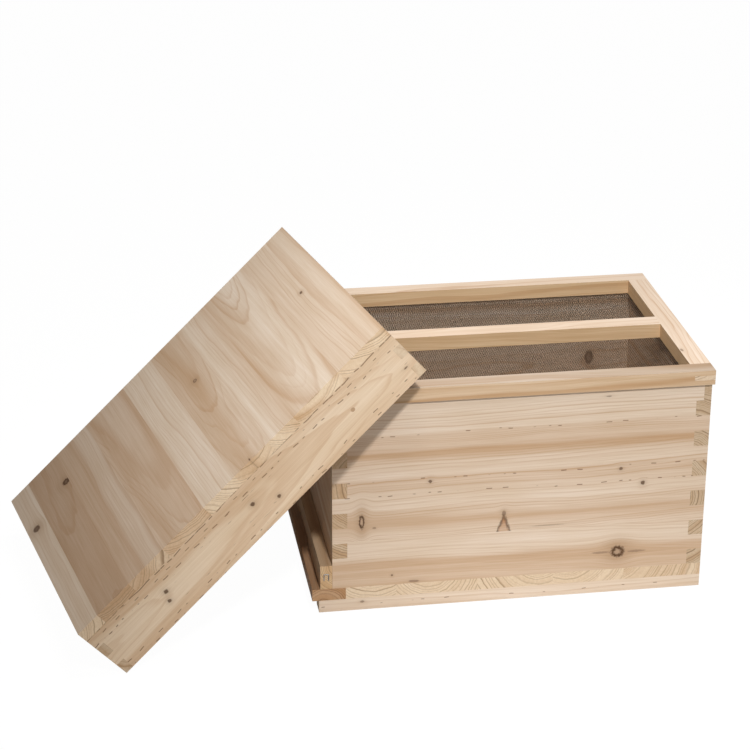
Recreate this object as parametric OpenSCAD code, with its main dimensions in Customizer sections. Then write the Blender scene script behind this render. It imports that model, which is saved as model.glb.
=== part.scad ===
// A wooden beehive: a finger-jointed box on its own floor, a screened inner
// cover on top, and a deep flat cover that leans against the left end.
// X runs along the box to the right, Y to the back, Z up. The origin is the
// middle of the front runner's underside, where the hive meets the ground.

/* [Hive body] */
// Outside length of the box
body_l = 505; // [490:1:520]
// Outside width of the box
body_w = 362; // [350:1:370]
// Height of the box walls
body_h = 264; // [240:12:264]
// Thickness of the wall boards
wall_t = 20; // [18:0.5:22]
// Number of equal fingers up each corner, an even number
finger_n = 12; // [8:2:14]
// Width of the ledge that carries the ends of the frames
ledge_w = 10; // [8:1:12]
// Height of the lower glue seam in the long walls
seam_low = 68; // [40:1:100]
// Height of the upper glue seam in the long walls
seam_high = 192; // [130:1:210]

/* [Floor] */
// Thickness of the floor boards
floor_t = 17; // [14:0.5:20]
// How far the floor stands out as a landing lip at the entrance end
lip = 27; // [22:1:50]
// Widths of the floor boards from the entrance end; the last takes what is left
floor_board_w = [45, 68, 110, 104, 98];
// Height of the runners under the floor
runner_h = 17.5; // [12:0.5:30]
// Width of the runners
runner_w = 25; // [20:1:40]
// How far the runners stop short of the floor's entrance end
runner_inset = 9; // [0:1:20]

/* [Entrance] */
// Thickness of the entrance block
block_t = 16; // [12:1:20]
// Height of the entrance block
block_h = 34; // [28:1:40]
// Width of the bees' doorway in the entrance block
door_w = 110; // [50:5:200]
// Height of the bees' doorway
door_h = 9; // [7:0.5:12]

/* [Screened inner cover] */
// How far the screen frame stands out beyond the box on every side
screen_over = 3; // [0:0.5:3]
// Thickness of the screen frame
screen_t = 20; // [16:0.5:24]
// Width of the front and back rails
screen_rail_w = 26; // [20:1:34]
// Width of the side rails and the middle bar
screen_side_w = 28; // [20:1:34]
// Length of the stub tenons on the middle bar
stub_l = 10; // [6:1:14]

/* [Cover] */
// Outside length of the cover
lid_l = 540; // [540:1:560]
// Outside width of the cover
lid_w = 398; // [396:1:420]
// Height of the cover's rails below its top boards
lid_rail_h = 74; // [50:1:80]
// Thickness of the cover's rails
lid_rail_t = 12; // [10:0.5:15]
// Thickness of the cover's top boards
lid_top_t = 16; // [14:0.5:20]
// Height of one finger at the cover's corners
lid_finger = 18.5; // [12:0.5:20]
// Widths of the top boards from the lower end; the last takes what is left
lid_board_w = [34, 55, 61, 73, 55, 59, 45, 79];
// Distance of the knot in the front rail from the lower end
knot_x = 440; // [200:1:450]
// Height of that knot above the rim
knot_z = 36; // [15:1:55]
// Radius of the knot
knot_r = 3; // [3:0.5:7]

/* [Lean] */
// Slope of the leaning cover, in degrees
lean_slope = 41.6; // [41.6:0.1:42]
// Turn of the leaning cover seen from above, in degrees
lean_turn = 11.6; // [11.2:0.1:12]
// Distance of the cover's foot from the box's entrance end
lean_foot_x = 320; // [320:0.5:345]
// Distance of the middle of that foot behind the box's front face
lean_foot_y = 75.1; // [72:0.1:80]

/* [Hidden] */
$fn = 32;

finger = body_h / finger_n;
stand_h = runner_h + floor_t;
floor_l = body_l + lip;

touch_gap = 0.2;
mesh_t = 0.6;
mesh_z = body_h + touch_gap;
frame_z = body_h + 1;
screen_l = body_l + 2 * screen_over;
screen_w = body_w + 2 * screen_over;
tenon_h = screen_t / 3;
ground_gap = 0.4;
knot_gap = 0.05;

nail_r = 1.4;
nail_l = 48;
nail_head_r = 3.2;
nail_head_t = 1;
nail_pitch = 90;
staple_wire = 0.5;
staple_crown = 8;
staple_leg = 6;
staple_pitch = 60;
mark_wire = 0.7;
mark_w = 6;
mark_h = 9;
over = 1;

fir = "#e3c9a3";
fir_pale = "#ecd9bb";
fir_pink = "#d3ad8b";
fir_dark = "#b98f68";
steel = "#8d8f92";

// The total of the first few widths in a list.
function first_sum(widths, count) = count <= 0 ? 0 : widths[count - 1] + first_sum(widths, count - 1);

// Moves the box's own frame, whose corner is at the floor's top, into place.
module at_box() {
    translate([-body_l / 2, -runner_w / 2, stand_h]) children();
}

// Moves the screen frame's corner into place on top of the box.
module at_screen() {
    at_box() translate([-screen_over, -screen_over, frame_z]) children();
}

// Leans the cover. Its own frame has X up the slope and Z out of its top,
// and starts at the middle of the rim's lower edge, which is the foot.
module at_lid() {
    at_box()
    translate([-lean_foot_x, lean_foot_y, ground_gap - stand_h])
    rotate([0, 0, lean_turn])
    rotate([0, -lean_slope, 0])
    children();
}

// One finger gap at a corner of a long wall, a little deeper than the wall.
module wall_gap(x, width, level) {
    translate([x, -over, (level - 1) * finger]) cube([width, wall_t + 2 * over, finger]);
}

// A whole long wall with the gaps that the end walls' fingers fill. At the
// entrance end the lowest level stays solid, because the end wall stops above it.
module long_wall() {
    difference() {
        cube([body_l, wall_t, body_h]);
        for (level = [3 : 2 : finger_n - 1]) {
            wall_gap(-over, wall_t + over, level);
        }
        for (level = [1 : 2 : finger_n - 1]) {
            wall_gap(body_l - wall_t, wall_t + over, level);
        }
        wall_gap(-over, wall_t - ledge_w + over, finger_n);
        wall_gap(body_l - wall_t + ledge_w, wall_t - ledge_w + over, finger_n);
    }
}

// The stretch of a long wall between two heights, as one glued board.
module long_board(from_z, to_z) {
    intersection() {
        long_wall();
        translate([-over, -over, from_z])
            cube([body_l + 2 * over, wall_t + 2 * over, to_z - from_z]);
    }
}

module front_board(from_z, to_z) {
    color(fir) at_box() long_board(from_z, to_z);
}

module back_board(from_z, to_z) {
    color(fir) at_box() translate([0, body_w, 0]) mirror([0, 1, 0]) long_board(from_z, to_z);
}

// An end wall with its outer face at x = 0. first_level is its lowest level of
// fingers; below it the wall is open for the bees. The frame ledge is cut a
// hair deeper at both ends, under the long walls' half fingers.
module end_wall(first_level) {
    bottom = (first_level - 1) * finger;
    difference() {
        translate([0, 0, bottom]) cube([wall_t, body_w, body_h - bottom]);
        for (level = [2 : 2 : finger_n - 2], y = [-over, body_w - wall_t]) {
            translate([-over, y, (level - 1) * finger])
                cube([wall_t + 2 * over, wall_t + over, finger]);
        }
        translate([wall_t - ledge_w, -over, body_h - finger])
            cube([ledge_w + over, body_w + 2 * over, finger + over]);
        for (y = [-over, body_w - wall_t]) {
            translate([wall_t - ledge_w, y, body_h - finger - touch_gap])
                cube([ledge_w + over, wall_t + over, finger + over]);
        }
    }
}

module entrance_end_board() {
    color(fir_pink) at_box() end_wall(2);
}

module rear_end_board() {
    color(fir) at_box() translate([body_l, 0, 0]) mirror([1, 0, 0]) end_wall(1);
}

// One floor board, with its grain from front to back.
module floor_board(index, tint) {
    start = first_sum(floor_board_w, index);
    end = index < len(floor_board_w) ? start + floor_board_w[index] : floor_l;
    color(tint) at_box() translate([start - lip, 0, -floor_t]) cube([end - start, body_w, floor_t]);
}

module runner(y) {
    color(fir_pale) at_box()
        translate([runner_inset - lip, y, -stand_h]) cube([floor_l - runner_inset, runner_w, runner_h]);
}

// One nail driven up from the underside of a runner, head first at z = 0.
module nail() {
    cylinder(r = nail_head_r, h = nail_head_t);
    cylinder(r = nail_r, h = nail_l);
}

module floor_nails() {
    count = floor((body_l - 2 * wall_t) / nail_pitch);
    start = (body_l - count * nail_pitch) / 2;
    color(steel) at_box()
    for (i = [0 : count], y = [wall_t / 2, body_w - wall_t / 2]) {
        translate([start + i * nail_pitch, y, -stand_h]) nail();
    }
}

// The loose block that narrows the entrance.
module entrance_block() {
    color(fir_pink) at_box()
    translate([-block_t - touch_gap, 0, touch_gap])
    difference() {
        cube([block_t, body_w, block_h]);
        translate([-over, (body_w - door_w) / 2, -over]) cube([block_t + 2 * over, door_w, door_h + over]);
    }
}

// The bent wire pressed half into the block's front end.
module block_staple() {
    color(steel) at_box()
    translate([-block_t / 2 - touch_gap, 0, touch_gap + (block_h - mark_h) / 2])
    union() {
        for (side = [-1, 1]) {
            translate([side * mark_w / 2, 0, 0]) cylinder(r = mark_wire, h = mark_h);
        }
        translate([-mark_w / 2, 0, mark_h]) rotate([0, 90, 0]) cylinder(r = mark_wire, h = mark_w);
        for (side = [-1, 1]) {
            translate([side * mark_w / 2, 0, mark_h]) sphere(r = mark_wire);
        }
    }
}

// A full-length rail of the screen frame, open-slotted at both ends.
module screen_long_rail() {
    difference() {
        cube([screen_l, screen_rail_w, screen_t]);
        for (x = [-over, screen_l - screen_side_w]) {
            translate([x, -over, tenon_h])
                cube([screen_side_w + over, screen_rail_w + 2 * over, tenon_h]);
        }
    }
}

// A side rail of the screen frame, whose tenons fill the long rails' slots, and
// which has a mortise for the middle bar.
module screen_side_rail() {
    inner_w = screen_w - 2 * screen_rail_w;
    difference() {
        union() {
            translate([0, screen_rail_w, 0]) cube([screen_side_w, inner_w, screen_t]);
            translate([0, 0, tenon_h]) cube([screen_side_w, screen_w, tenon_h]);
        }
        translate([screen_side_w - stub_l, (screen_w - screen_side_w) / 2, tenon_h])
            cube([stub_l + over, screen_side_w, tenon_h]);
    }
}

module screen_front_rail() {
    color(fir_pale) at_screen() screen_long_rail();
}

module screen_back_rail() {
    color(fir_pale) at_screen() translate([0, screen_w - screen_rail_w, 0]) screen_long_rail();
}

module screen_left_rail() {
    color(fir_pale) at_screen() screen_side_rail();
}

module screen_right_rail() {
    color(fir_pale) at_screen() translate([screen_l, 0, 0]) mirror([1, 0, 0]) screen_side_rail();
}

module screen_middle_bar() {
    inner_l = screen_l - 2 * screen_side_w;
    color(fir_pale) at_screen()
    translate([screen_side_w, (screen_w - screen_side_w) / 2, 0])
    union() {
        cube([inner_l, screen_side_w, screen_t]);
        translate([-stub_l, 0, tenon_h]) cube([inner_l + 2 * stub_l, screen_side_w, tenon_h]);
    }
}

// The woven wire, as one thin sheet under the frame.
module screen_mesh() {
    color("#6d675c") at_box() translate([0, 0, mesh_z]) cube([body_l, body_w, mesh_t]);
}

// One wire staple driven up: its crown lies under the mesh along x.
module staple() {
    translate([-staple_crown / 2, 0, staple_wire]) rotate([0, 90, 0])
        cylinder(r = staple_wire, h = staple_crown);
    for (side = [-1, 1]) {
        translate([side * staple_crown / 2, 0, 0]) cylinder(r = staple_wire, h = staple_leg);
    }
}

// Staples that hold the wire to the underside of the middle bar.
module screen_staples() {
    count = floor((body_l - 2 * screen_side_w) / staple_pitch);
    start = (body_l - count * staple_pitch) / 2;
    color(steel) at_box()
    for (i = [0 : count]) {
        translate([start + i * staple_pitch, body_w / 2, mesh_z - 2 * staple_wire]) staple();
    }
}

// The levels of the cover's corner fingers, counted down from the top boards,
// that belong to the end rails.
module lid_fingers(y, depth) {
    for (level = [1 : 2 : lid_rail_h / lid_finger - 0.1]) {
        top = lid_rail_h - level * lid_finger;
        bottom = max(top - lid_finger, 0);
        translate([-over, y, bottom]) cube([lid_rail_t + over, depth, top - bottom]);
        translate([lid_l - lid_rail_t, y, bottom]) cube([lid_rail_t + over, depth, top - bottom]);
    }
}

// A long rail of the cover, with gaps for the end rails' fingers.
module lid_long_rail(y) {
    difference() {
        translate([0, y, 0]) cube([lid_l, lid_rail_t, lid_rail_h]);
        lid_fingers(y - over, lid_rail_t + 2 * over);
    }
}

// An end rail of the cover with its outer face at x: only its fingers reach
// into the long rails.
module lid_end_rail(x) {
    half = lid_w / 2;
    translate([x, lid_rail_t - half, 0]) cube([lid_rail_t, lid_w - 2 * lid_rail_t, lid_rail_h]);
    intersection() {
        translate([x, -half, 0]) cube([lid_rail_t, lid_w, lid_rail_h]);
        lid_fingers(-half, lid_w);
    }
}

module lid_front_rail() {
    color(fir) at_lid()
    difference() {
        lid_long_rail(-lid_w / 2);
        translate([knot_x, -lid_w / 2 - over, knot_z]) rotate([-90, 0, 0])
            cylinder(r = knot_r + knot_gap, h = lid_rail_t + 2 * over);
    }
}

module lid_back_rail() {
    color(fir) at_lid() lid_long_rail(lid_w / 2 - lid_rail_t);
}

module lid_lower_rail() {
    color(fir_pink) at_lid() lid_end_rail(0);
}

module lid_upper_rail() {
    color(fir) at_lid() lid_end_rail(lid_l - lid_rail_t);
}

// The dead knot, a loose round plug through the front rail.
module lid_knot() {
    color("#6b4a30") at_lid()
    translate([knot_x, -lid_w / 2, knot_z]) rotate([-90, 0, 0]) cylinder(r = knot_r, h = lid_rail_t);
}

// One top board of the cover, with its grain across the cover.
module lid_board(index, tint) {
    start = first_sum(lid_board_w, index);
    end = index < len(lid_board_w) ? start + lid_board_w[index] : lid_l;
    color(tint) at_lid()
        translate([start, -lid_w / 2, lid_rail_h]) cube([end - start, lid_w, lid_top_t]);
}

front_board(0, seam_low);  // front_lower_board
front_board(seam_low, seam_high);  // front_middle_board
front_board(seam_high, body_h);  // front_upper_board
back_board(0, seam_low);  // back_lower_board
back_board(seam_low, seam_high);  // back_middle_board
back_board(seam_high, body_h);  // back_upper_board
entrance_end_board();
rear_end_board();
floor_board(0, fir_dark);  // floor_board_1
floor_board(1, fir_pale);  // floor_board_2
floor_board(2, fir);  // floor_board_3
floor_board(3, fir_pale);  // floor_board_4
floor_board(4, fir);  // floor_board_5
floor_board(5, fir_pink);  // floor_board_6
runner(0);  // front_runner
runner(body_w - runner_w);  // back_runner
floor_nails();
entrance_block();
block_staple();
screen_front_rail();
screen_back_rail();
screen_left_rail();
screen_right_rail();
screen_middle_bar();
screen_mesh();
screen_staples();
lid_front_rail();
lid_back_rail();
lid_lower_rail();
lid_upper_rail();
lid_board(0, fir_dark);  // lid_board_1
lid_board(1, fir_pink);  // lid_board_2
lid_board(2, fir);  // lid_board_3
lid_board(3, fir_pink);  // lid_board_4
lid_board(4, fir);  // lid_board_5
lid_board(5, fir_pink);  // lid_board_6
lid_board(6, fir);  // lid_board_7
lid_board(7, fir_pale);  // lid_board_8
lid_board(8, fir);  // lid_board_9
lid_knot();
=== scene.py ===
import math

import bpy
from mathutils import Matrix, Vector


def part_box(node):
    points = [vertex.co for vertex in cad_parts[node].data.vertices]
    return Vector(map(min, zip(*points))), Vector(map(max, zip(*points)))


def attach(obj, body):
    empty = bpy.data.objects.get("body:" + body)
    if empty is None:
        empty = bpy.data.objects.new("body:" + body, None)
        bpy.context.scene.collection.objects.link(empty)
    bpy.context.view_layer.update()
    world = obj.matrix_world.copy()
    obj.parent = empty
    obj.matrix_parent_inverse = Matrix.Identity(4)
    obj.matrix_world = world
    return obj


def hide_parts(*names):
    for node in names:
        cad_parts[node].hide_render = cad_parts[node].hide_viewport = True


MM = 0.001
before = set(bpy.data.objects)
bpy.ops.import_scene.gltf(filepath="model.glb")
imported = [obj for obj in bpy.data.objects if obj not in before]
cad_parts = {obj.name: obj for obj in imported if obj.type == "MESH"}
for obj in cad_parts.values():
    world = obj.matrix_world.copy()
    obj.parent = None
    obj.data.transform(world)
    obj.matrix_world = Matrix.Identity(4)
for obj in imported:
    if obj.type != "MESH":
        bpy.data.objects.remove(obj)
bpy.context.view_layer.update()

# ---------------------------------------------------------------- sizes, mm

BEVEL = 0.6                # softened arrises on every board
LEAN_SLOPE = 41.6          # the leaning cover's slope and turn, in degrees
LEAN_TURN = 11.6

WIRE_PITCH = 3.0           # the woven screen
WIRE_RADIUS = 0.28
WIRE_WAVE = 0.16

FLOOR_SIZE = 14            # metres
FLOOR_GAP = 0.3            # mm between the runners and the floor

# --------------------------------------------------- colours, linear light

SAP = (0.79, 0.65, 0.515, 1)
HEART = (0.56, 0.36, 0.21, 1)
LATE = (0.50, 0.28, 0.13, 1)
END_WOOD = (0.98, 0.95, 0.86, 1)
END_LINE = (0.25, 0.165, 0.095, 1)
PITCH = (0.17, 0.075, 0.03, 1)
KNOT_DARK = (0.085, 0.038, 0.016, 1)
KNOT_TAN = (0.56, 0.39, 0.26, 1)
KNOT_HALO = (0.34, 0.20, 0.11, 1)
SPIKE_BROWN = (0.46, 0.21, 0.085, 1)


# ------------------------------------------------------------- node helpers

class Nodes:
    """Short calls that build one node tree."""

    def __init__(self, tree):
        self.tree = tree

    def add(self, kind, inputs=None, **settings):
        node = self.tree.nodes.new(kind)
        for name, value in settings.items():
            setattr(node, name, value)
        for key, value in (inputs or {}).items():
            self.plug(node.inputs[key], value)
        return node

    def plug(self, socket, value):
        if isinstance(value, bpy.types.NodeSocket):
            self.tree.links.new(value, socket)
        else:
            socket.default_value = value

    def math(self, operation, a, b=0.0, c=0.0):
        return self.add("ShaderNodeMath", {0: a, 1: b, 2: c}, operation=operation).outputs[0]

    def vector(self, operation, a, b=(0, 0, 0)):
        node = self.add("ShaderNodeVectorMath", {0: a, 1: b}, operation=operation)
        return node.outputs["Value" if operation in ("LENGTH", "DOT_PRODUCT") else "Vector"]

    def step(self, value, low, high, to_low=0.0, to_high=1.0):
        """A smooth step from to_low at low up to to_high at high."""
        node = self.add("ShaderNodeMapRange", interpolation_type="SMOOTHSTEP", inputs={
            "Value": value, "From Min": low, "From Max": high, "To Min": to_low, "To Max": to_high})
        return node.outputs["Result"]

    def mix(self, amount, a, b, blend="MIX"):
        node = self.add("ShaderNodeMix", data_type="RGBA", blend_type=blend, clamp_result=False)
        self.plug(node.inputs["Factor"], amount)
        self.plug(node.inputs[6], a)
        self.plug(node.inputs[7], b)
        return node.outputs[2]

    def noise(self, place, scale, detail=1.0, seed=(0, 0, 0)):
        """Noise of about 0 to 1, with its own scale along each axis of place."""
        moved = self.vector("ADD", self.vector("MULTIPLY", place, scale), seed)
        return self.add("ShaderNodeTexNoise", {"Vector": moved, "Scale": 1.0, "Detail": detail}).outputs[0]

    def noise_line(self, value, scale, seed):
        """Noise along one number."""
        w = self.math("MULTIPLY_ADD", value, scale, seed)
        return self.add("ShaderNodeTexNoise", {"W": w, "Scale": 1.0, "Detail": 0.0},
                        noise_dimensions="1D").outputs[0]

    def gather(self, x=0.0, y=0.0, z=0.0):
        return self.add("ShaderNodeCombineXYZ", {0: x, 1: y, 2: z}).outputs[0]

    def split(self, value):
        return self.add("ShaderNodeSeparateXYZ", {0: value}).outputs

    def ramp(self, value, stops):
        """A number through a curve of (place 0 to 1, value 0 to 1) stops."""
        node = self.add("ShaderNodeValToRGB", {0: value})
        curve = node.color_ramp
        curve.interpolation = "EASE"
        curve.elements.remove(curve.elements[1])
        for i, (place, tone) in enumerate(stops):
            stop = curve.elements[0] if i == 0 else curve.elements.new(place)
            stop.position = place
            stop.color = (tone, tone, tone, 1)
        return node.outputs[0]


def new_group(name, inputs, outputs):
    """An empty node group with its sockets, and its builder."""
    group = bpy.data.node_groups.new(name, "ShaderNodeTree")
    for kind, sockets in (("INPUT", inputs), ("OUTPUT", outputs)):
        for label, socket in sockets.items():
            group.interface.new_socket(label, in_out=kind, socket_type="NodeSocket" + socket)
    build = Nodes(group)
    return group, build, build.add("NodeGroupInput").outputs, build.add("NodeGroupOutput").inputs


def new_material(name):
    """An empty material and its builder."""
    material = bpy.data.materials.new(name)
    material.use_nodes = True
    material.node_tree.nodes.clear()
    return material, Nodes(material.node_tree)


# --------------------------------------------------------------- wood nodes
# Inside these groups a place is in mm: x along the grain, y across the board's
# face and z through its thickness, all from the middle of the board.

def knot_group():
    """A knot whose branch runs through the thickness, with grain that flows round it."""
    group, n, given, made = new_group(
        "Knot",
        {"Place": "Vector", "Along": "Float", "Across": "Float", "Radius": "Float", "Stretch": "Float"},
        {"Shift": "Float", "Mask": "Float", "Inner": "Float", "Halo": "Float"})
    x, y, _ = n.split(given["Place"])
    along = n.math("DIVIDE", n.math("SUBTRACT", x, given["Along"]), given["Stretch"])
    across = n.math("SUBTRACT", y, given["Across"])
    away = n.vector("LENGTH", n.gather(along, across))
    share = n.math("DIVIDE", away, given["Radius"])
    rough = n.noise(given["Place"], (0.35, 0.35, 0.03), 2.0)
    edge = n.math("ADD", share, n.math("MULTIPLY_ADD", rough, 0.7, -0.35))

    def swell(value, width):
        square = n.math("POWER", n.math("DIVIDE", value, width), 2.0)
        return n.math("EXPONENT", n.math("MULTIPLY", square, -1.0))

    n.plug(made["Shift"], n.math("MULTIPLY", n.math("MULTIPLY", swell(share, 2.6), across), -0.6))
    n.plug(made["Mask"], n.step(edge, 0.7, 1.15, 1.0, 0.0))
    n.plug(made["Inner"], n.step(edge, 0.3, 0.62, 1.0, 0.0))
    n.plug(made["Halo"], swell(edge, 2.0))
    return group


def timber_group():
    """Solid fir: growth rings about a pith line, fibres and end grain."""
    group, n, given, made = new_group(
        "Timber",
        {"Place": "Vector", "Pith": "Vector", "Run": "Vector", "Spacing": "Float", "Tone": "Float",
         "Banding": "Float", "Contrast": "Float", "Seed": "Float", "End": "Float", "Shade": "Float",
         "Line": "Float"},
        {"Color": "Color", "Height": "Float", "Late": "Float"})
    place, seed = given["Place"], given["Seed"]
    shift = n.gather(seed, seed, seed)
    x = n.split(place)[0]

    # the pith line, tilted by Run, and a slow wander of the rings
    tilted = n.vector("MULTIPLY", n.gather(x, x, x), given["Run"])
    offset = n.vector("SUBTRACT", n.vector("SUBTRACT", place, given["Pith"]), tilted)
    radius = n.vector("LENGTH", n.vector("MULTIPLY", offset, (0, 1, 1)))
    for scale, size in (((0.004, 0.012, 0.012), 16.0), ((0.014, 0.08, 0.08), 3.4)):
        ripple = n.noise(place, scale, 1.0, shift)
        radius = n.math("ADD", radius, n.math("MULTIPLY_ADD", ripple, size, -size / 2))

    # yearly rings of uneven width: pale at first, then darker towards their edge
    years = n.math("DIVIDE", radius, given["Spacing"])
    years = n.math("ADD", years, n.math("MULTIPLY", n.noise_line(radius, 0.06, seed), 3.0))
    part = n.math("FRACT", years)
    year = n.math("ADD", n.math("FLOOR", years), seed)
    chance = n.add("ShaderNodeTexWhiteNoise", {"W": year}, noise_dimensions="1D").outputs["Value"]
    chance = n.math("MULTIPLY_ADD", chance, 0.8, 0.2)
    fade = n.step(part, 0.94, 1.0, 1.0, 0.0)
    late = n.math("MULTIPLY", n.math("MULTIPLY", n.step(part, 0.3, 0.92), fade), chance)
    line = n.math("MULTIPLY", n.math("MULTIPLY", n.step(part, 0.66, 0.9), fade), chance)

    # the tone goes from pale sapwood to pinkish heartwood, and follows the rings a little
    band = n.math("SUBTRACT", n.noise_line(radius, 0.1, n.math("ADD", seed, 40.0)), 0.5)
    tone = n.math("ADD", given["Tone"], n.math("MULTIPLY", band, given["Banding"]))
    color = n.mix(n.step(tone, -0.1, 1.1), SAP, HEART)
    strength = n.math("ADD", n.math("MULTIPLY", late, 0.45), line)
    color = n.mix(n.math("MULTIPLY", strength, given["Contrast"]), color, LATE)

    # fine fibres, broader streaks and slow blotches change the brightness
    fibre = n.noise(place, (0.02, 0.9, 0.9), 3.0, shift)
    streak = n.noise(place, (0.005, 0.3, 0.3), 3.0, shift)
    blotch = n.noise(place, (0.008, 0.02, 0.02), 1.0, shift)
    shade = n.math("MULTIPLY_ADD", fibre, 0.28, 0.86)
    shade = n.math("MULTIPLY", shade, n.math("MULTIPLY_ADD", streak, 0.28, 0.86))
    shade = n.math("MULTIPLY", shade, n.math("MULTIPLY_ADD", blotch, 0.16, 0.92))
    warm = n.gather(n.math("POWER", shade, 0.7), shade, n.math("POWER", shade, 1.5))
    color = n.mix(1.0, color, warm, "MULTIPLY")

    # end grain is duller, and its rings are thin dark lines
    dull = n.vector("MULTIPLY", n.gather(given["Shade"], given["Shade"], given["Shade"]), END_WOOD[:3])
    ends = n.mix(1.0, color, dull, "MULTIPLY")
    ends = n.mix(n.math("MULTIPLY", line, given["Line"]), ends, END_LINE)
    color = n.mix(given["End"], color, ends)

    n.plug(made["Color"], color)
    n.plug(made["Height"], n.math("ADD", n.math("MULTIPLY", late, 0.5), n.math("MULTIPLY", fibre, 0.6)))
    n.plug(made["Late"], late)
    return group


KNOT = knot_group()
TIMBER = timber_group()


# --------------------------------------------------------- the boards' axes

LEAN = (Matrix.Rotation(math.radians(LEAN_TURN), 3, "Z")
        @ Matrix.Rotation(math.radians(-LEAN_SLOPE), 3, "Y"))
SQUARE = Matrix.Identity(3)
AXES = {"X": Vector((1, 0, 0)), "Y": Vector((0, 1, 0)), "Z": Vector((0, 0, 1))}


def board_axes(turn, grain, across):
    """Columns: the grain, the way across the face and the way through, in the row's frame."""
    g, h = AXES[grain], AXES[across]
    return turn @ Matrix((g, h, g.cross(h))).transposed()


def board_box(node, axes):
    """The board's lowest and highest corners along its own axes, in metres."""
    back = axes.transposed()
    places = [back @ v.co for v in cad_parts[node].data.vertices]
    low = Vector([min(p[i] for p in places) for i in range(3)])
    high = Vector([max(p[i] for p in places) for i in range(3)])
    return low, high


def board_place(n, coords, axes, middle):
    """Object coordinates as mm along the board's own axes, from its middle."""
    return n.add("ShaderNodeMapping", vector_type="TEXTURE", inputs={
        "Vector": coords, "Location": axes @ middle, "Rotation": axes.to_euler(),
        "Scale": (MM, MM, MM)}).outputs[0]


def group_node(n, tree, values):
    node = n.add("ShaderNodeGroup", node_tree=tree)
    for key, value in values.items():
        n.plug(node.inputs[key], value)
    return node.outputs


def pitch_rows(n, x, y, color, rows, seed):
    """Rows of short dark pitch marks: (mm across, how dense 0 to 1, mm thick)."""
    for i, (at, dense, thick) in enumerate(rows):
        dash = n.noise_line(x, 0.09, seed + 9.0 * i)
        dash = n.step(dash, 0.68 - 0.3 * dense, 0.78 - 0.3 * dense)
        sway = n.math("MULTIPLY_ADD", n.noise_line(x, 0.05, seed + 4.0 * i), 2.4, at - 1.2)
        near = n.step(n.math("ABSOLUTE", n.math("SUBTRACT", y, sway)), 0.2 * thick, thick, 1.0, 0.0)
        color = n.mix(n.math("MULTIPLY", n.math("MULTIPLY", dash, near), 0.8), color, PITCH)
    return color


def spike_mark(n, x, y, color, spike):
    """A knot sawn along its branch: a brown wedge between two dark lines.
    The spike is mm along and across to the middle of its base, half its width and its height."""
    along, base, half, rise = spike
    up = n.math("DIVIDE", n.math("SUBTRACT", y, base), rise)
    wide = n.math("MULTIPLY_ADD", up, -half, half)
    ragged = n.noise(n.gather(x, y), (0.25, 0.12, 0), 2.0)
    wide = n.math("ADD", wide, n.math("MULTIPLY_ADD", ragged, 6.0, -3.0))
    off = n.math("SUBTRACT", n.math("ABSOLUTE", n.math("SUBTRACT", x, along)), wide)
    within = n.math("MULTIPLY", n.step(up, 0.9, 1.05, 1.0, 0.0), n.step(up, -0.03, 0.0))
    inside = n.math("MULTIPLY", n.step(off, -2.0, 1.0, 1.0, 0.0), within)
    line = n.math("MULTIPLY", n.step(n.math("ABSOLUTE", off), 0.2, 3.0, 1.0, 0.0), within)
    fade = n.step(up, 0.1, 0.9, 0.35, 0.85)
    color = n.mix(n.math("MULTIPLY", inside, fade), color, SPIKE_BROWN)
    return n.mix(n.math("MULTIPLY", line, 0.7), color, KNOT_DARK)


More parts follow.
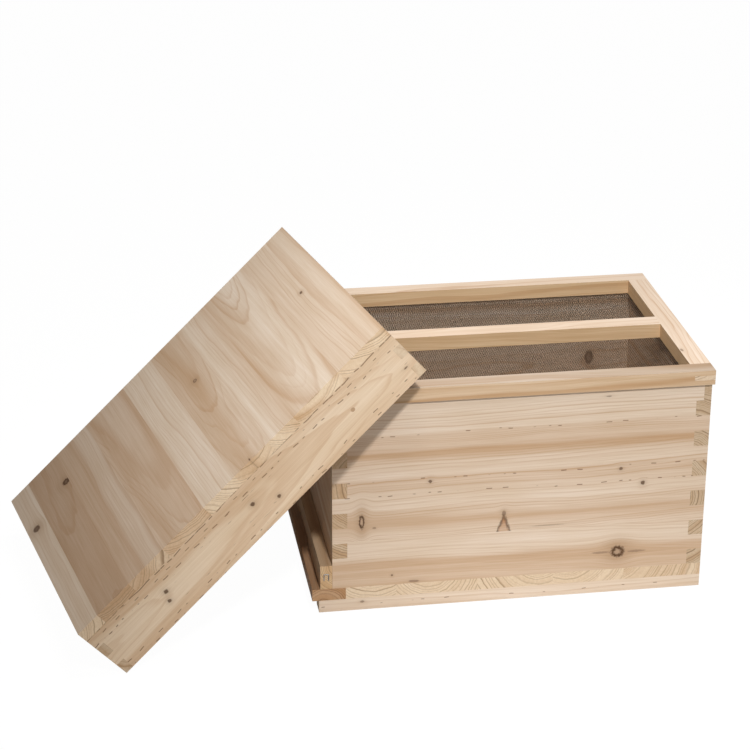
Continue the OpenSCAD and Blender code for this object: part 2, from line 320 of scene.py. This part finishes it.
def wood(node, grain, across, turn=SQUARE, bands=None, tone=0.35, banding=0.7, pith=(40, 60),
         run=(0, 0), spacing=5.0, contrast=0.3, seed=1.0, knots=(), rows=(), flecks=0.0, spike=None,
         tint=(1, 1, 1), painted_side_light=None, end_shade=0.92, end_line=0.75):
    """Give one CAD board its own piece of fir.

    bands are (mm across from the low edge, tone), tone 0 for pale sapwood and 1 for heartwood.
    pith is where the log's centre passes, across and through from the board's middle, and run
    is how it drifts per mm. A knot is mm along and across from the board's low corner, then its
    radius, its stretch along the grain, how dark it is and how pale its middle is."""
    axes = board_axes(turn, grain, across)
    low, high = board_box(node, axes)
    middle, size = (low + high) / 2, (high - low) / MM
    material, n = new_material("fir_" + node)
    coords = n.add("ShaderNodeTexCoord").outputs
    place = board_place(n, coords["Object"], axes, middle)
    facing = n.vector("DOT_PRODUCT", coords["Normal"], tuple(axes.col[0]))
    end = n.step(n.math("ABSOLUTE", facing), 0.6, 0.9)

    shift, marks = 0.0, []
    for along, over, radius, stretch, dark, pale in knots:
        mark = group_node(n, KNOT, {
            "Place": place, "Along": along - size[0] / 2, "Across": over - size[1] / 2,
            "Radius": radius, "Stretch": stretch})
        shift = n.math("ADD", mark["Shift"], shift)
        marks.append((mark, dark, pale))
    moved = n.vector("ADD", place, n.gather(0.0, shift, 0.0))

    x, y, _ = n.split(moved)
    sway = n.noise(moved, (0.006, 0.02, 0.02), 1.0, (seed, seed, seed))
    y = n.math("ADD", n.math("ADD", y, size[1] / 2), n.math("MULTIPLY_ADD", sway, 9.0, -4.5))
    if bands:
        tone = n.ramp(n.math("DIVIDE", y, size[1]), [(at / size[1], t) for at, t in bands])
    timber = group_node(n, TIMBER, {
        "Place": moved, "Pith": (0, *pith), "Run": (0, *run), "Spacing": spacing, "Tone": tone,
        "Banding": banding * (0.4 if bands else 1), "Contrast": contrast, "Seed": seed, "End": end,
        "Shade": end_shade, "Line": end_line})
    color = n.mix(1.0, timber["Color"], (*tint, 1), "MULTIPLY")
    # painted light and shade on the board's side faces: the side tint multiplies their colour to stand in for
    # how light falls there
    if painted_side_light:
        sideways = n.vector("DOT_PRODUCT", coords["Normal"], tuple(axes.col[1]))
        edge = n.step(n.math("ABSOLUTE", sideways), 0.6, 0.9)
        color = n.mix(edge, color, n.mix(1.0, color, (*painted_side_light, 1), "MULTIPLY"))

    if flecks:
        dash = n.step(n.noise(moved, (0.05, 0.6, 0.6), 1.0, (seed + 3, seed, seed)), 0.69, 0.74)
        flock = n.step(n.noise(moved, (0.006, 0.05, 0.05), 1.0, (seed, seed + 5, seed)), 0.5, 0.6)
        color = n.mix(n.math("MULTIPLY", n.math("MULTIPLY", dash, flock), flecks), color, PITCH)
    color = pitch_rows(n, x, y, color, rows, seed)
    if spike:
        color = spike_mark(n, n.math("ADD", x, size[0] / 2), y, color, spike)
    for mark, dark, pale in marks:
        color = n.mix(n.math("MULTIPLY", mark["Halo"], 0.45 * dark), color, KNOT_HALO)
        color = n.mix(n.math("MULTIPLY", mark["Mask"], dark), color, KNOT_DARK)
        color = n.mix(n.math("MULTIPLY", mark["Inner"], pale), color, KNOT_TAN)

    bump = n.add("ShaderNodeBump", {"Height": timber["Height"], "Strength": 0.45, "Distance": 0.1 * MM})
    rough = n.math("MULTIPLY_ADD", timber["Late"], -0.12, 0.68)
    shader = n.add("ShaderNodeBsdfPrincipled", {
        "Base Color": color, "Roughness": rough, "Specular IOR Level": 0.25, "Normal": bump.outputs[0]})
    n.add("ShaderNodeOutputMaterial", {0: shader.outputs[0]})
    dress(node, material, BEVEL)


def dress(node, material, bevel=0.0):
    """Put the material on every slot of a CAD node, and soften the node's arrises."""
    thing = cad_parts[node]
    if not thing.data.materials:
        thing.data.materials.append(material)
    for slot in thing.material_slots:
        slot.material = material
    if bevel:
        arris = thing.modifiers.new("arris", "BEVEL")
        arris.width = bevel * MM
        arris.segments = 2
        arris.limit_method = "ANGLE"
        arris.angle_limit = math.radians(50)


def metal(name, dark, light, rough, metallic):
    """Plain wire: a dull metal with slow patches of tarnish."""
    material, n = new_material(name)
    coords = n.add("ShaderNodeTexCoord").outputs["Object"]
    patch = n.noise(coords, (60, 60, 60), 4.0)
    fine = n.noise(coords, (900, 900, 900), 2.0)
    bump = n.add("ShaderNodeBump", {"Height": fine, "Strength": 0.2, "Distance": 0.05 * MM})
    shader = n.add("ShaderNodeBsdfPrincipled", {
        "Base Color": n.mix(n.step(patch, 0.4, 0.62), dark, light), "Metallic": metallic,
        "Roughness": n.math("MULTIPLY_ADD", fine, 0.3, rough - 0.15), "Normal": bump.outputs[0]})
    n.add("ShaderNodeOutputMaterial", {0: shader.outputs[0]})
    return material


# ---------------------------------------------------------------- hive body

def dress_walls():
    """Long walls: three glued boards each, with the grain along X."""
    wood("front_upper_board", "X", "Z", pith=(140, 60), run=(0.015, 0), seed=3.1, contrast=0.34,
         bands=[(0, 0.9), (5, 0.5), (25, 0.4), (30, 0.15), (50, 0.0), (72, 0.15)],
         rows=[(26.5, 0.25, 0.9)], knots=[(366, 64, 1.0, 4, 0.5, 0)])
    wood("front_middle_board", "X", "Z", pith=(-150, -50), run=(0.02, 0.01), seed=8.4, contrast=0.36,
         bands=[(0, 0.2), (25, 0.65), (35, 0.35), (55, 0.15), (85, 0.5), (95, 0.2), (110, 0.25),
                (124, 0.9)],
         rows=[(86, 0.2, 1.1), (64, 0.3, 1.0)], spike=(230, 0, 8.5, 28),
         knots=[(387, 82, 2.4, 1.1, 0.7, 0), (418, 59, 3.2, 0.9, 0.8, 0), (130, 81, 2.6, 1, 0.75, 0),
                (39, 28, 11, 0.36, 0.9, 0.9), (230, 27, 4.2, 0.7, 0.5, 0), (290, 5, 0.9, 26, 0.3, 0),
                (56, 18, 1.6, 1.6, 0.4, 0)])
    wood("front_lower_board", "X", "Z", pith=(130, -60), run=(-0.01, 0.02), seed=14.2, contrast=0.34,
         bands=[(0, 0.55), (30, 0.65), (45, 0.05), (68, 0.2)],
         knots=[(388, 26, 9.2, 1.05, 0.95, 0.8), (364, 26, 1.8, 7, 0.35, 0), (414, 25, 1.8, 7, 0.35, 0),
                (80, 14, 1.5, 1, 0.7, 0), (110, 3, 1.8, 4.5, 0.5, 0.3)])
    wood("back_upper_board", "X", "Z", pith=(-60, -60), tone=0.3, seed=21.3)
    wood("back_middle_board", "X", "Z", pith=(25, 70), tone=0.45, seed=27.9,
         run=(0.05, 0), knots=[(427, 98, 11, 0.6, 0.8, 0.3), (140, 40, 5, 1, 0.7, 0.3)])
    wood("back_lower_board", "X", "Z", pith=(-10, -50), tone=0.4, seed=33.5)
    wood("entrance_end_board", "Y", "Z", pith=(20, 45), tone=0.6, contrast=0.4, seed=40.2, spacing=3.6,
         run=(0.04, 0), end_shade=0.9, end_line=0.95)
    wood("rear_end_board", "Y", "Z", pith=(-35, -42), tone=0.4, contrast=0.35, seed=47.7, spacing=3.6,
         run=(-0.05, 0.02), end_shade=0.86, end_line=0.95,
         knots=[(110, 150, 7, 0.9, 0.8, 0.4), (262, 90, 4, 1, 0.7, 0)])


def dress_floor():
    """Floor boards run from front to back, so their ends show along the front."""
    # the first board, the lip under the leaning cover, is tinted dark as the painted shadow of the cover; its
    # end_shade of 1.4 lifts its front end most of the way back
    boards = [dict(pith=(-8, 20), tone=0.8, tint=(0.6, 0.54, 0.5), contrast=0.4, end_shade=1.4,
                   end_line=0.9),
              dict(pith=(6, -70), tone=0.05),
              dict(pith=(-12, -30), tone=0.1),
              dict(pith=(30, -40), tone=0.0),
              dict(pith=(-30, -45), tone=0.1),
              dict(pith=(-70, -40), tone=0.3)]
    for i, look in enumerate(boards):
        shared = dict(seed=51 + 3.7 * i, spacing=4.6, end_shade=1.0, end_line=0.5)
        wood(f"floor_board_{i + 1}", "Y", "X", **(shared | look))
    wood("front_runner", "X", "Z", pith=(-60, 60), tone=0.15, seed=80.5,
         rows=[(9, 0.0, 0.8)], knots=[(58, 12, 1.8, 1.8, 0.5, 0)])
    wood("back_runner", "X", "Z", pith=(60, -60), tone=0.15, seed=84.1)
    # the entrance block is tinted dark and yellow as painted shade under the leaning cover; its end_shade of
    # 1.4 lifts its front end back
    wood("entrance_block", "Y", "Z", pith=(22, 30), tone=0.35, seed=88.8, spacing=3.6,
         tint=(0.64, 0.57, 0.47), end_shade=1.4)


# ------------------------------------------------------ screened inner cover

def dress_screen():
    """Pale rails: pinkish white on top; painted shade makes their side faces darker and yellower."""
    # the side-face tint in pale is painted shade: it darkens and yellows the rails' sides against their tops
    pale = dict(tint=(1.08, 1.07, 1.08), painted_side_light=(0.84, 0.74, 0.56), banding=1.0)
    # painted light on the front rail: its tint paints shade on the top, which the lamps light strongly, and
    # its side tint paints light on the front face
    wood("screen_front_rail", "X", "Y", pith=(30, -75), tone=0.35, seed=91.3, run=(0.02, 0.02),
         tint=(0.76, 0.76, 0.77), painted_side_light=(1.26, 1.18, 1.02), banding=1.2)
    wood("screen_back_rail", "X", "Y", pith=(-25, -60), tone=0.1, seed=95.2, run=(-0.03, 0.03), **pale)
    wood("screen_left_rail", "Y", "X", pith=(20, 75), tone=0.1, seed=99.6, **pale)
    wood("screen_right_rail", "Y", "X", pith=(-26, -80), tone=0.05, seed=103.4, end_line=1.0,
         knots=[(75, 3, 2, 2.5, 0.5, 0.2)], **pale)
    wood("screen_middle_bar", "X", "Y", pith=(24, -65), tone=0.1, seed=107.7, run=(0.03, -0.03), **pale)


def wire_strip(start, step, side, count, phase):
    """The corners of one wavy wire's diamond section, at every crossing along it."""
    points = []
    for i in range(count):
        up = WIRE_WAVE if (i + phase) % 2 else -WIRE_WAVE
        centre = start + step * i + Vector((0, 0, up * MM))
        across = side * WIRE_RADIUS * MM
        rise = Vector((0, 0, WIRE_RADIUS * MM))
        points += [centre + across, centre + rise, centre - across, centre - rise]
    return points


def woven_screen():
    """The whole screen, wire over and under wire, in place of the CAD's thin sheet."""
    low, high = (Vector(c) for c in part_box("screen_mesh"))
    pitch = WIRE_PITCH * MM
    middle = (low.z + high.z) / 2
    verts, faces = [], []
    counts = [int((high[i] - low[i]) / pitch) for i in (0, 1)]
    starts = [(low[i] + high[i] - (counts[i] - 1) * pitch) / 2 for i in (0, 1)]
    for along, across in ((0, 1), (1, 0)):
        step, side = Vector((0, 0, 0)), Vector((0, 0, 0))
        step[along] = pitch
        side[across] = 1
        for line in range(counts[across]):
            start = Vector((0, 0, middle))
            start[along] = starts[along]
            start[across] = starts[across] + line * pitch
            first = len(verts)
            verts += wire_strip(start, step, side, counts[along], line + along)
            for i in range(counts[along] - 1):
                for k in range(4):
                    a, b = first + 4 * i + k, first + 4 * i + (k + 1) % 4
                    faces.append((a, b, b + 4, a + 4))
            last = first + 4 * (counts[along] - 1)
            faces.append(tuple(first + k for k in (3, 2, 1, 0)))
            faces.append(tuple(last + k for k in range(4)))
    mesh = bpy.data.meshes.new("woven_wire")
    mesh.from_pydata([tuple(v) for v in verts], [], faces)
    mesh.update()
    piece = bpy.data.objects.new("woven_wire", mesh)
    bpy.context.scene.collection.objects.link(piece)
    wire = metal("screen_wire", (0.035, 0.021, 0.011, 1), (0.075, 0.047, 0.027, 1), 0.75, 0.0)
    piece.data.materials.append(wire)
    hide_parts("screen_mesh")
    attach(piece, "screen_cover")


# -------------------------------------------------------------------- cover

def dress_cover():
    """Top boards run across the cover, the rails around it."""
    boards = [
        dict(pith=(-90, -60), bands=[(0, 0.25), (34, 0.25)], knots=[(283, 15, 6.2, 1.25, 0.8, 0.1)]),
        dict(pith=(10, -95), tint=(0.88, 0.85, 0.84), bands=[(0, 0.6), (27, 0.6), (55, 0.65)],
             knots=[(320, 50, 6.2, 1.2, 0.9, 0.2)]),
        dict(pith=(-70, -80), tint=(0.89, 0.85, 0.82),
             bands=[(0, 0.55), (26, 0.5), (36, 0.2), (46, 0.05), (61, 0.1)]),
        dict(pith=(12, -60), run=(-0.05, 0.03), tint=(0.95, 0.92, 0.9),
             bands=[(0, 0.4), (8, 0.55), (20, 0.5), (35, 0.35), (62, 0.4), (73, 0.55)]),
        dict(pith=(70, -60), bands=[(0, 0.3), (10, 0.05), (45, 0.05), (55, 0.25)]),
        dict(pith=(6, -50), run=(0, 0.04), bands=[(0, 0.5), (30, 0.65), (45, 0.4), (59, 0.3)],
             knots=[(258, 33, 3.4, 1.3, 0.6, 0.5), (3, 28, 1.1, 3, 0.7, 0)]),
        dict(pith=(60, -60), bands=[(0, 0.2), (10, 0.05), (30, 0.3), (45, 0.55)]),
        dict(pith=(-2, -46), run=(0.02, 0.07), spacing=6.5, contrast=0.34, banding=1.6,
             bands=[(0, 0.6), (15, 0.45), (30, 0.3), (50, 0.0), (65, 0.0), (79, 0.4)]),
        dict(pith=(50, -60), run=(0.06, 0.05), spacing=6,
             bands=[(0, 0.35), (30, 0.25), (50, 0.3), (62, 0.1), (70, 0.25), (79, 0.65)],
             knots=[(219, 35, 2.4, 1.4, 0.75, 0)])]
    for i, look in enumerate(boards):
        shared = dict(seed=121 + 4.3 * i, spacing=4.2, contrast=0.26, end_shade=1.22, end_line=0.6)
        wood(f"lid_board_{i + 1}", "Y", "X", turn=LEAN, **(shared | look))
    wood("lid_front_rail", "X", "Z", turn=LEAN, pith=(4, 60), run=(0.01, 0.05), spacing=7, contrast=0.28,
         seed=171.5, bands=[(0, 0.4), (6, 0.35), (12, 0.2), (40, 0.1), (56, 0.15), (62, 0.35), (74, 0.35)],
         rows=[(59, 0.5, 1.0), (66.5, 0.2, 0.8), (9, 0.35, 1.0), (1, 0.3, 0.9), (74, 1.0, 1.1)],
         flecks=0.7, banding=0.5, tint=(1.13, 1.09, 1.0),
         knots=[(267, 43, 3.2, 1, 0.8, 0), (297, 24, 2.6, 1, 0.8, 0), (112, 43, 3.2, 1, 0.8, 0),
                (106, 30, 2.8, 1, 0.8, 0), (524, 24, 1.2, 2.5, 0.7, 0)])
    wood("lid_back_rail", "X", "Z", turn=LEAN, pith=(-10, -55), tone=0.3, seed=176.1, flecks=0.5)
    wood("lid_lower_rail", "Y", "Z", turn=LEAN, pith=(14, 70), tone=0.4, seed=180.3, end_shade=1.0,
         end_line=0.2)
    wood("lid_upper_rail", "Y", "Z", turn=LEAN, pith=(-14, -70), tone=0.2, seed=184.9, end_shade=1.04,
         end_line=0.2)


def dress_knot():
    """The loose knot: brown rings about its own middle."""
    axes = board_axes(LEAN, "X", "Z")
    low, high = board_box("lid_knot", axes)
    material, n = new_material("loose_knot")
    coords = n.add("ShaderNodeTexCoord").outputs["Object"]
    place = board_place(n, coords, axes, (low + high) / 2)
    away = n.vector("LENGTH", n.vector("MULTIPLY", place, (1, 1, 0)))
    rough = n.noise(place, (0.9, 0.9, 0.1), 3.0)
    rings = n.math("FRACT", n.math("MULTIPLY_ADD", rough, 1.2, n.math("MULTIPLY", away, 1.4)))
    color = n.mix(n.math("MULTIPLY", rings, 0.5), HEART, KNOT_TAN)
    bump = n.add("ShaderNodeBump", {"Height": rings, "Strength": 0.5, "Distance": 0.1 * MM})
    shader = n.add("ShaderNodeBsdfPrincipled", {
        "Base Color": color, "Roughness": n.math("MULTIPLY_ADD", rough, 0.2, 0.5), "Normal": bump.outputs[0]})
    n.add("ShaderNodeOutputMaterial", {0: shader.outputs[0]})
    dress("lid_knot", material)


def dress_metal():
    """Nails and staples."""
    steel = metal("nail_steel", (0.16, 0.16, 0.17, 1), (0.4, 0.4, 0.41, 1), 0.4, 0.9)
    for node in ("floor_nails", "block_staple", "screen_staples"):
        dress(node, steel)


# ------------------------------------------------------------------- studio

CAMERA_PLACE = (-0.6047, -2.6013, 1.4593)
CAMERA_DOWN = 23.13        # degrees below level
CAMERA_RIGHT = 8.96        # degrees to the right of +Y
CAMERA_ROLL = 0.25
CAMERA_LENS = 107.0

FLOOR_WHITE = 0.8          # how much light the floor gives back
SEEN_WHITE = 1.05          # how bright the camera sees the floor and the sky
SEEN_SHARE = 0.93
SKY = (1.0, 0.97, 0.93, 1)
SKY_STRENGTH = 0.22


def add_lamp(kind, name, place, aim, power, color, **settings):
    data = bpy.data.lights.new(name, kind)
    data.energy = power
    data.color = color
    for key, value in settings.items():
        setattr(data, key, value)
    lamp = bpy.data.objects.new(name, data)
    lamp.location = place
    lamp.rotation_euler = (Vector(aim) - Vector(place)).to_track_quat("-Z", "Y").to_euler()
    bpy.context.scene.collection.objects.link(lamp)


def studio_floor():
    """A plain pale floor that the camera sees nearly white."""
    bpy.ops.mesh.primitive_plane_add(size=FLOOR_SIZE, location=(0, 0, -FLOOR_GAP * MM))
    ground = bpy.context.object
    ground.name = "studio_floor"
    paint, n = new_material("studio_floor")
    seen = n.math("MULTIPLY", n.add("ShaderNodeLightPath").outputs["Is Camera Ray"], SEEN_SHARE)
    matt = n.add("ShaderNodeBsdfDiffuse", {"Color": (FLOOR_WHITE, FLOOR_WHITE, FLOOR_WHITE, 1)})
    glow = n.add("ShaderNodeEmission", {"Color": (1, 1, 1, 1), "Strength": SEEN_WHITE})
    both = n.add("ShaderNodeMixShader", {0: seen, 1: matt.outputs[0], 2: glow.outputs[0]})
    n.add("ShaderNodeOutputMaterial", {0: both.outputs[0]})
    ground.data.materials.append(paint)


def studio_sky():
    """A weak even sky, white where the camera looks straight at it."""
    world = bpy.data.worlds.new("studio")
    bpy.context.scene.world = world
    world.use_nodes = True
    world.node_tree.nodes.clear()
    n = Nodes(world.node_tree)
    seen = n.add("ShaderNodeLightPath").outputs["Is Camera Ray"]
    strength = n.math("MULTIPLY_ADD", seen, SEEN_WHITE - SKY_STRENGTH, SKY_STRENGTH)
    back = n.add("ShaderNodeBackground", {"Color": SKY, "Strength": strength})
    n.add("ShaderNodeOutputWorld", {0: back.outputs[0]})


def studio():
    """The floor, the lights and the camera."""
    scene = bpy.context.scene
    scene.view_settings.view_transform = "Standard"
    studio_floor()
    studio_sky()
    add_lamp("SPOT", "key", (-0.1, -2.1, 2.7), (0.09, 0, 0.185), 302, (1.0, 0.99, 0.98),
             spot_size=math.radians(30), spot_blend=1.0, shadow_soft_size=0.13)
    add_lamp("AREA", "top", (-0.18, -0.15, 1.5), (-0.1, 0.05, 0.3), 7.5, (1, 0.98, 0.95), size=0.5)

    data = bpy.data.cameras.new("camera")
    data.lens = CAMERA_LENS
    data.sensor_width = 36
    camera = bpy.data.objects.new("camera", data)
    turn = (Matrix.Rotation(math.radians(-CAMERA_RIGHT), 3, "Z")
            @ Matrix.Rotation(math.radians(90 - CAMERA_DOWN), 3, "X")
            @ Matrix.Rotation(math.radians(CAMERA_ROLL), 3, "Z"))
    camera.matrix_world = Matrix.LocRotScale(Vector(CAMERA_PLACE), turn, None)
    scene.collection.objects.link(camera)
    scene.camera = camera


dress_walls()
dress_floor()
dress_screen()
woven_screen()
dress_cover()
dress_knot()
dress_metal()
studio()
